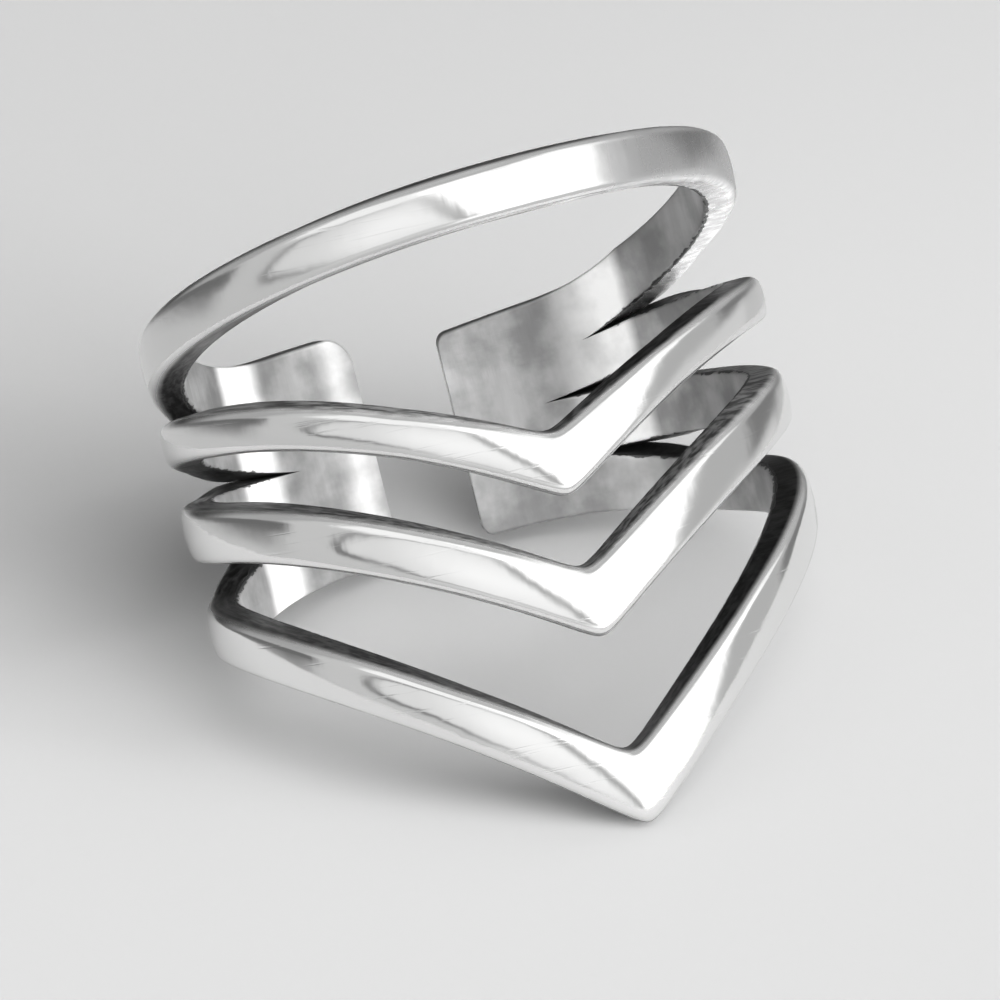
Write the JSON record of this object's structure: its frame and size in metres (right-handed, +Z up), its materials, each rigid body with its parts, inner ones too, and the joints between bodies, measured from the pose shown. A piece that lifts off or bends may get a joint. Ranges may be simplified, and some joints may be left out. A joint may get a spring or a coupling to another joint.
{
  "type": "open chevron ring",
  "caption": "Open silver finger ring with one arched bar and stacked chevron bars fanned from a short back band.",
  "frame": {"origin": "on the surface that the ring rests on, under the middle of its bounding box", "axes": "+Z up; the points of the chevrons, which are the ring's front, face -Y and the opening in the band +Y; the ring rests on its lowest point and on the lower edge of its band, so the finger's axis leans back"},
  "size_m": [0.0196, 0.0236, 0.0198],
  "materials": {
    "silver": "polished"
  },
  "bodies": {
    "root": {"ring": "silver"}
  },
  "joints": []
}
